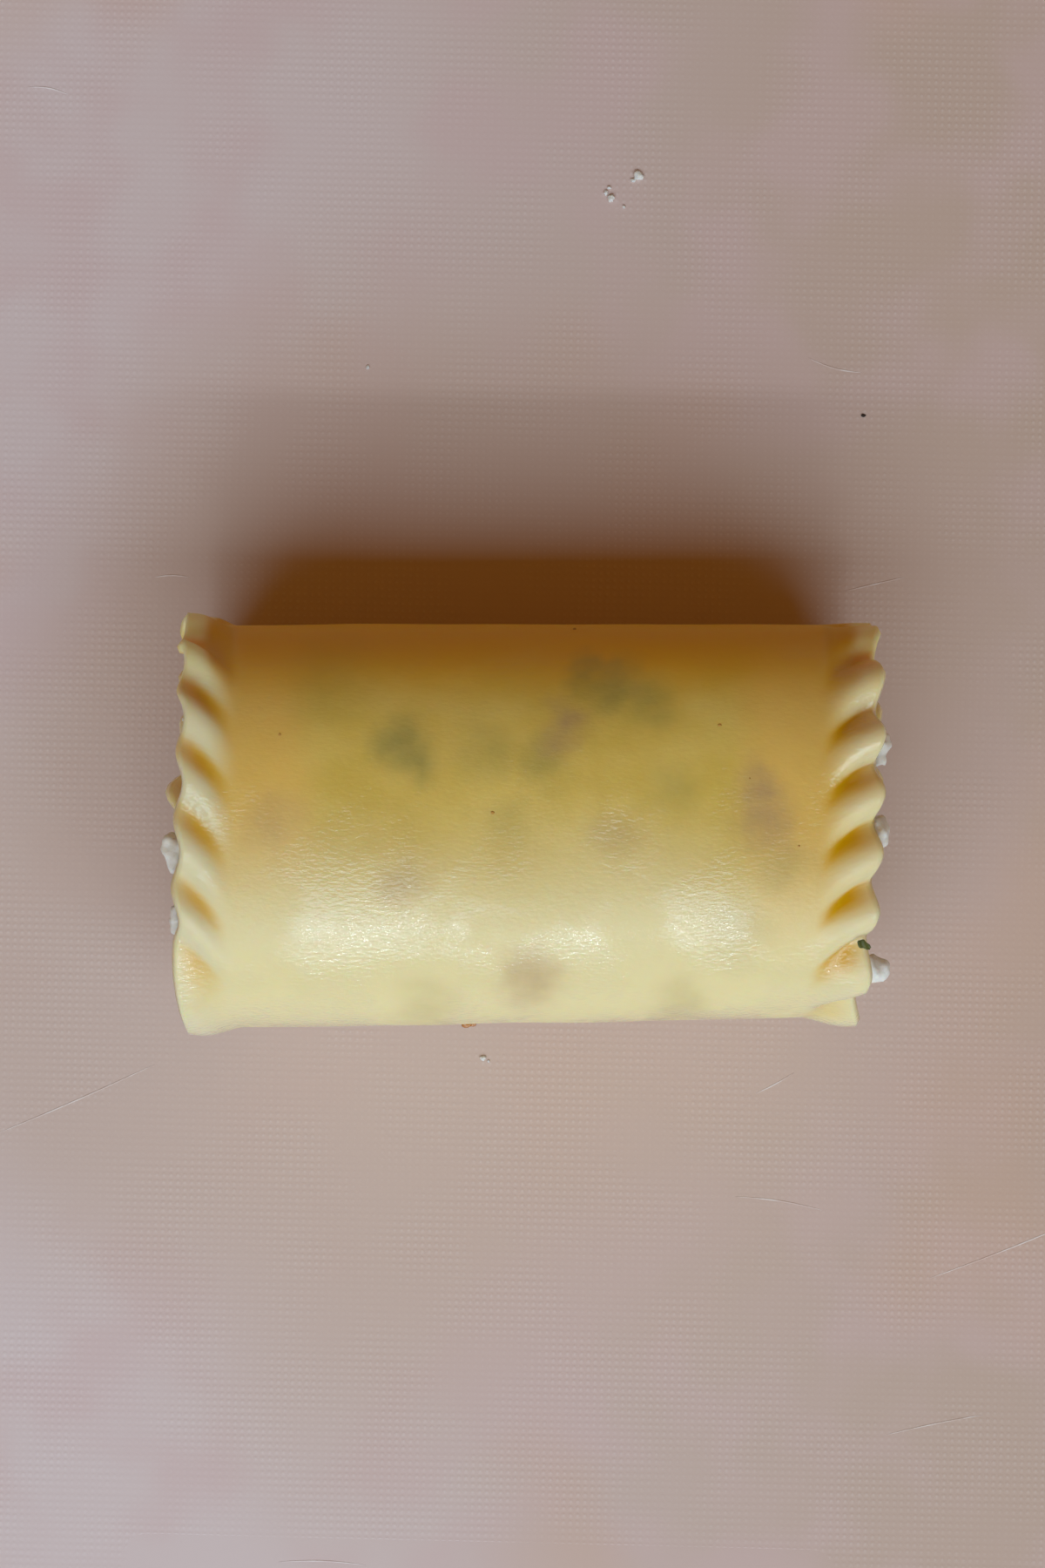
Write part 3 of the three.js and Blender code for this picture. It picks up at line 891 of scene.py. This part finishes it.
def boiled_pasta():
    """Durum wheat dough, rolled between steel rollers, boiled and drained.

    It is straw yellow and lets light in for a millimetre or two. Its dips and its back are painted golden as
    shade, its crests paler, partly as painted light, and its front, which faces the lamps, paler as painted
    light. What lies under it shows as blurred shades. A film of water glistens over a skin with fine pits.
    """
    material, tree, place = new_material("boiled_pasta")
    shade = {
        name: add(tree, "Attribute", attribute_name=name).outputs["Fac"]
        for name in ("gold", "pale", "herb", "ham", "backed", "behind", "thin")
    }
    ragged = add(tree, "TexNoise", {"Vector": place, "Scale": per_metre(1.6), "Detail": 3})
    blurred = add(tree, "Math", {0: ragged, 1: 0.6, 2: 0.5}, operation="MULTIPLY_ADD")
    herb = add(tree, "Math", {0: shade["herb"], 1: blurred}, operation="MULTIPLY")
    ham_under = add(tree, "Math", {0: shade["ham"], 1: blurred}, operation="MULTIPLY")
    # The crests on the back are painted brighter: painted light against their shade.
    crest = {"Factor": shade["behind"], "A": linear("#e8dab0"), "B": linear("#ffefb4")}
    colour = patchy(tree, place, 7, "#dbbb58", "#e4c568", (0.35, 0.65))
    # Layers over the pasta's own colour. The front is painted paler as light, the back golden brown as shade,
    # the crests paler partly as painted light, and the dips golden as painted shade.
    for share, over in [
        (shade["thin"], linear("#ecc266")),
        (shade["backed"], linear("#f2dea8")),
        (shade["behind"], linear("#efb206")),
        (shade["pale"], add(tree, "Mix", crest, **COLOURS)),
        (shade["gold"], linear("#e2aa00")),
        (herb, linear("#9c9250")),
        (ham_under, linear("#b3936e")),
    ]:
        colour = add(tree, "Mix", {"Factor": share, "A": colour, "B": over}, **COLOURS)

    puddles = add(tree, "TexNoise", {"Vector": place, "Scale": per_metre(9), "Detail": 3})
    wet = add(tree, "MapRange", {"Value": puddles, "From Min": 0.38, "From Max": 0.6}, **SMOOTH)
    film_share = add(tree, "MapRange", {"Value": wet, "To Min": 0.15}, **SMOOTH)
    not_behind = add(tree, "Math", {0: 1.0, 1: shade["behind"]}, operation="SUBTRACT")
    gloss = add(tree, "Math", {0: film_share, 1: not_behind}, operation="MULTIPLY")
    drawn_out = add(tree, "VectorMath", {0: place, 1: (0.5, 1, 1)}, operation="MULTIPLY")
    pits = add(tree, "TexNoise", {"Vector": drawn_out, "Scale": per_metre(0.3), "Detail": 2})
    dents = add(tree, "TexNoise", {"Vector": place, "Scale": per_metre(2.2), "Detail": 2})
    height = add(tree, "Math", {0: pits, 1: 0.3, 2: dents}, operation="MULTIPLY_ADD")
    skin = add(tree, "Bump", {"Height": height, "Strength": 0.5, "Distance": 0.08 * MM})
    spots = add(tree, "TexNoise", {"Vector": place, "Scale": per_metre(5), "Detail": 3})
    rough = {"Value": spots, "From Min": 0.4, "From Max": 0.58, "To Min": 0.5}
    rough = add(tree, "MapRange", rough, **SMOOTH)
    film = add(tree, "Bump", {"Height": pits, "Strength": rough, "Distance": 0.1 * MM, "Normal": skin})
    surface = add(tree, "BsdfPrincipled", {
        "Base Color": colour,
        "Roughness": 0.5,
        "IOR": 1.45,
        "Specular IOR Level": 0.2,
        "Normal": skin,
        "Subsurface Weight": 0.6,
        "Subsurface Radius": (1.0, 0.55, 0.22),
        "Subsurface Scale": 2.2 * MM,
        "Coat Weight": gloss,
        "Coat Roughness": 0.08,
        "Coat IOR": 1.6,
        "Coat Normal": film,
    })
    add(tree, "OutputMaterial", {"Surface": surface})
    return material


def ricotta_curds():
    """Fresh whey cheese, stirred and spread with a spoon.

    The curds are nearly white, moist and slightly see-through, with a grain of under a millimetre.
    """
    material, tree, place = new_material("ricotta_curds")
    colour = patchy(tree, place, 3, "#eeebe5", "#e6dfd2", (0.35, 0.7))
    grain = add(tree, "TexNoise", {"Vector": place, "Scale": per_metre(0.5), "Detail": 3})
    skin = add(tree, "Bump", {"Height": grain, "Strength": 0.6, "Distance": 0.12 * MM})
    surface = add(tree, "BsdfPrincipled", {
        "Base Color": colour,
        "Roughness": 0.5,
        "IOR": 1.36,
        "Normal": skin,
        "Subsurface Weight": 0.5,
        "Subsurface Radius": (1.0, 0.8, 0.6),
        "Subsurface Scale": 1.0 * MM,
    })
    add(tree, "OutputMaterial", {"Surface": surface})
    return material


def wilted_leaf():
    """Leaf herbs, chopped with a knife and wilted in the filling: dark, moist green, browner at the cuts."""
    material, tree, place = new_material("wilted_leaf")
    colour = patchy(tree, place, 1.2, "#38421a", "#6a6a2c", (0.35, 0.7))
    veins = add(tree, "TexNoise", {"Vector": place, "Scale": per_metre(0.4), "Detail": 3})
    skin = add(tree, "Bump", {"Height": veins, "Strength": 0.5, "Distance": 0.06 * MM})
    surface = {"Base Color": colour, "Roughness": 0.45, "IOR": 1.42, "Normal": skin}
    surface = add(tree, "BsdfPrincipled", surface)
    add(tree, "OutputMaterial", {"Surface": surface})
    return material


def cooked_ham():
    """Cooked ham, cut in small cubes: mauve pink meat with paler fat, and a moist cut face."""
    material, tree, place = new_material("cooked_ham")
    colour = patchy(tree, place, 1.5, "#b9746c", "#dcb3a4", (0.45, 0.7))
    fibres = add(tree, "TexNoise", {"Vector": place, "Scale": per_metre(0.5), "Detail": 3})
    skin = add(tree, "Bump", {"Height": fibres, "Strength": 0.5, "Distance": 0.08 * MM})
    surface = add(tree, "BsdfPrincipled", {
        "Base Color": colour,
        "Roughness": 0.4,
        "IOR": 1.4,
        "Normal": skin,
        "Subsurface Weight": 0.3,
        "Subsurface Radius": (1.0, 0.4, 0.3),
        "Subsurface Scale": 1.0 * MM,
    })
    add(tree, "OutputMaterial", {"Surface": surface})
    return material


def toasted_bran():
    """Specks of wheat bran in the dough: dry, golden brown flakes."""
    finish = {"Roughness": 0.7}
    return two_shades("toasted_bran", 0.3, "#b07a30", "#c8943c", finish)


def cracked_pepper():
    """A fleck of ground black pepper: nearly black, rough and dry."""
    finish = {"Roughness": 0.8}
    return two_shades("cracked_pepper", 0.3, "#1d1613", "#40322a", finish)


def oily_sauce():
    """Drops of fat with a little tomato: clear orange brown and glossy."""
    finish = {"Roughness": 0.15, "IOR": 1.46, "Coat Weight": 0.5}
    return two_shades("oily_sauce", 0.6, "#a8601a", "#c98432", finish)


def board_tint(tree, place):
    """The board's colour: mauve grey polyethylene, yellower to the right, with faint stains from use.

    Round the food it is painted a little darker and warmer: painted shade, and warm light bounced from the
    noodle.
    """
    wander = add(tree, "TexNoise", {"Vector": place, "Scale": per_metre(60), "Detail": 2})
    wander = add(tree, "Math", {0: wander, 1: 60 * MM, 2: -30 * MM}, operation="MULTIPLY_ADD")
    x = add(tree, "SeparateXYZ", {"Vector": place}).outputs["X"]
    x = add(tree, "Math", {0: x, 1: wander}, operation="ADD")
    yellower = add(tree, "MapRange", {"Value": x, "From Min": -45 * MM, "From Max": 55 * MM}, **SMOOTH)
    pinks = add(tree, "TexNoise", {"Vector": place, "Scale": per_metre(14), "Detail": 2})
    rosy = {"Value": pinks, "From Min": 0.4, "From Max": 0.65, "To Max": 0.5}
    browns = add(tree, "TexNoise", {"Vector": place, "Scale": per_metre(35), "Detail": 2})
    stained = {"Value": browns, "From Min": 0.55, "From Max": 0.75, "To Max": 0.6}
    # Painted shade and bounced warm light round the roll.
    away = add(tree, "VectorMath", {0: place}, operation="LENGTH").outputs["Value"]
    away = add(tree, "Math", {0: away, 1: wander}, operation="ADD")
    painted_bounce_and_shade = {"Value": away, "From Min": 66 * MM, "From Max": 40 * MM, "To Max": 0.75}

    colour = add(tree, "Mix", {"Factor": yellower, "A": linear("#dcc9c8"), "B": linear("#caaf9f")}, **COLOURS)
    for share, over in [(rosy, "#d7b9b7"), (stained, "#d5b09a"), (painted_bounce_and_shade, "#d0b5a6")]:
        share = add(tree, "MapRange", share, **SMOOTH)
        colour = add(tree, "Mix", {"Factor": share, "A": colour, "B": linear(over)}, **COLOURS)
    return colour


def inside_panel(tree, aligned):
    """1 in the smooth panel at the board's front edge, and 0 round it."""
    middle = (PANEL.middle[0] * MM, PANEL.middle[1] * MM, 0)
    straight = ((PANEL.half[0] - PANEL.corner) * MM, (PANEL.half[1] - PANEL.corner) * MM, 1)
    offset = add(tree, "VectorMath", {0: aligned, 1: middle}, operation="SUBTRACT")
    offset = add(tree, "VectorMath", {0: offset}, operation="ABSOLUTE")
    beyond = add(tree, "VectorMath", {0: offset, 1: straight}, operation="SUBTRACT")
    beyond = add(tree, "VectorMath", {0: beyond, 1: (0, 0, 0)}, operation="MAXIMUM")
    distance = add(tree, "VectorMath", {0: beyond}, operation="LENGTH").outputs["Value"]
    edge = {"Value": distance, "From Min": (PANEL.corner + 0.1) * MM, "From Max": PANEL.corner * MM}
    return add(tree, "MapRange", edge, **SMOOTH)


def knurled_polyethylene():
    """Polyethylene board, hot pressed against a knurled plate.

    The press leaves a grid of tiny domes, so the board looks matt and finely dotted. The domes are at their
    real pitch of two thirds of a millimetre, and worn in places. A panel at the front edge was pressed
    smooth. Use has left faint stains.
    """
    material, tree, place = new_material("knurled_polyethylene")
    turn = {"Vector": place, "Angle": math.radians(KNURL_SKEW)}
    aligned = add(tree, "VectorRotate", turn, rotation_type="Z_AXIS")
    axes = add(tree, "SeparateXYZ", {"Vector": aligned})
    rows = []
    for axis in ("X", "Y"):
        phase = {0: axes.outputs[axis], 1: TAU * per_metre(KNURL_PITCH)}
        wave = add(tree, "Math", {0: add(tree, "Math", phase, operation="MULTIPLY")}, operation="SINE")
        rows.append(add(tree, "Math", {0: wave, 1: 1.0}, operation="ADD"))
    domes = add(tree, "Math", {0: rows[0], 1: rows[1]}, operation="MULTIPLY")

    panel = inside_panel(tree, aligned)
    knurled = add(tree, "Math", {0: 1.0, 1: panel}, operation="SUBTRACT")
    wear = add(tree, "TexNoise", {"Vector": place, "Scale": per_metre(9), "Detail": 3})
    worn = {"Value": wear, "From Min": 0.35, "From Max": 0.65, "To Min": 0.25}
    worn = add(tree, "MapRange", worn, **SMOOTH)
    pressed = add(tree, "Math", {0: worn, 1: knurled}, operation="MULTIPLY")
    relief = add(tree, "Math", {0: domes, 1: pressed}, operation="MULTIPLY")
    grain = add(tree, "TexNoise", {"Vector": place, "Scale": per_metre(0.5), "Detail": 3})
    height = add(tree, "Math", {0: grain, 1: 0.6, 2: relief}, operation="MULTIPLY_ADD")
    skin = add(tree, "Bump", {"Height": height, "Strength": 0.35, "Distance": 0.014 * MM})

    # The domes' tops are painted paler: a painted highlight.
    painted_dome_highlight = add(tree, "MapRange", {"Value": domes, "From Min": 2.0, "From Max": 4.0, "To Max": 0.14}, **SMOOTH)
    painted_dome_highlight = add(tree, "Math", {0: painted_dome_highlight, 1: pressed}, operation="MULTIPLY")
    colour = {"Factor": painted_dome_highlight, "A": board_tint(tree, place), "B": linear("#f4efed")}
    surface = add(tree, "BsdfPrincipled", {
        "Base Color": add(tree, "Mix", colour, **COLOURS),
        "Roughness": add(tree, "MapRange", {"Value": panel, "To Min": 0.5, "To Max": 0.42}, **SMOOTH),
        "IOR": 1.5,
        "Normal": skin,
    })
    add(tree, "OutputMaterial", {"Surface": surface})
    return material


def scraped_polyethylene():
    """Polyethylene that a knife has scraped up: a little paler and rougher than the board."""
    material, tree, place = new_material("scraped_polyethylene")
    scrapes = add(tree, "TexNoise", {"Vector": place, "Scale": per_metre(2), "Detail": 3})
    bright = {"Value": scrapes, "From Min": 0.4, "From Max": 0.65, "To Min": 0.1, "To Max": 0.6}
    bright = add(tree, "MapRange", bright, **SMOOTH)
    colour = {"Factor": bright, "A": board_tint(tree, place), "B": linear("#efe8e5")}
    colour = add(tree, "Mix", colour, **COLOURS)
    surface = add(tree, "BsdfPrincipled", {"Base Color": colour, "Roughness": 0.6, "IOR": 1.5})
    add(tree, "OutputMaterial", {"Surface": surface})
    return material


def studio_floor():
    """Plain pale studio card, faintly mottled."""
    finish = {"Roughness": 0.8}
    return two_shades("studio_floor", 40, "#d9d4cd", "#dedad4", finish)


# ---- The stage ----

LENS = 104.6
CAMERA_AT = (2.74, 6.0, 441.0)
LIT_POINT = (0, 0, 25)
COOL_DAYLIGHT = "#d6efff"


def floor():
    half = 1500
    points = [(-half, -half, 0), (half, -half, 0), (half, half, 0), (-half, half, 0)]
    mesh_object("floor", points, [(0, 1, 2, 3)], studio_floor())


def camera():
    """Straight above, a little behind and to the right of the board's middle, with the board's back up."""
    data = bpy.data.cameras.new("camera")
    data.lens = LENS
    data.sensor_width = 36
    data.clip_start = 0.01
    made = bpy.data.objects.new("camera", data)
    made.location = Vector(CAMERA_AT) * MM
    bpy.context.scene.collection.objects.link(made)
    bpy.context.scene.camera = made


def soft_panel(name, elevation, distance, width, height, watts, code):
    """A rectangular light in front of the roll and aimed at it, that many degrees above the table."""
    data = bpy.data.lights.new(name, "AREA")
    data.shape = "RECTANGLE"
    data.size = width * MM
    data.size_y = height * MM
    data.energy = watts
    data.color = linear(code)[:3]
    above = math.radians(elevation)
    way = Vector((0, -math.cos(above), math.sin(above)))
    made = bpy.data.objects.new(name, data)
    made.location = (way * distance + Vector(LIT_POINT)) * MM
    made.rotation_euler = way.to_track_quat("Z", "Y").to_euler()
    bpy.context.scene.collection.objects.link(made)


def lights():
    soft_panel("window", 56, 1500, 2340, 900, 20.5, COOL_DAYLIGHT)
    soft_panel("low_window", 30, 1500, 2340, 500, 4.5, COOL_DAYLIGHT)
    soft_panel("bright_strip", 47, 1450, 600, 60, 2.1, "#e4f3ff")
    world = bpy.data.worlds.new("room")
    bpy.context.scene.world = world
    world.use_nodes = True
    background = world.node_tree.nodes["Background"]
    background.inputs["Color"].default_value = linear("#ffb75b")
    background.inputs["Strength"].default_value = 0.18
    bpy.context.scene.view_settings.view_transform = "Standard"


camera()
lights()
floor()

grid = noodle_grid()
place = settle(grid)
noodle(grid, place)
ricotta(grid, place)
herbs(grid, place)
ham(grid, place)
bran_specks(grid, place)
board()
knife_marks()
board_bits("ricotta_crumbs", RICOTTA_CRUMBS, 0.7, ricotta_curds(), "ricotta", 41)
board_bits("pepper_fleck", PEPPER_FLECKS, 0.6, cracked_pepper(), "herb_leaf", 43)
board_bits("sauce_drops", SAUCE_DROPS, 0.35, oily_sauce(), "ham", 47)
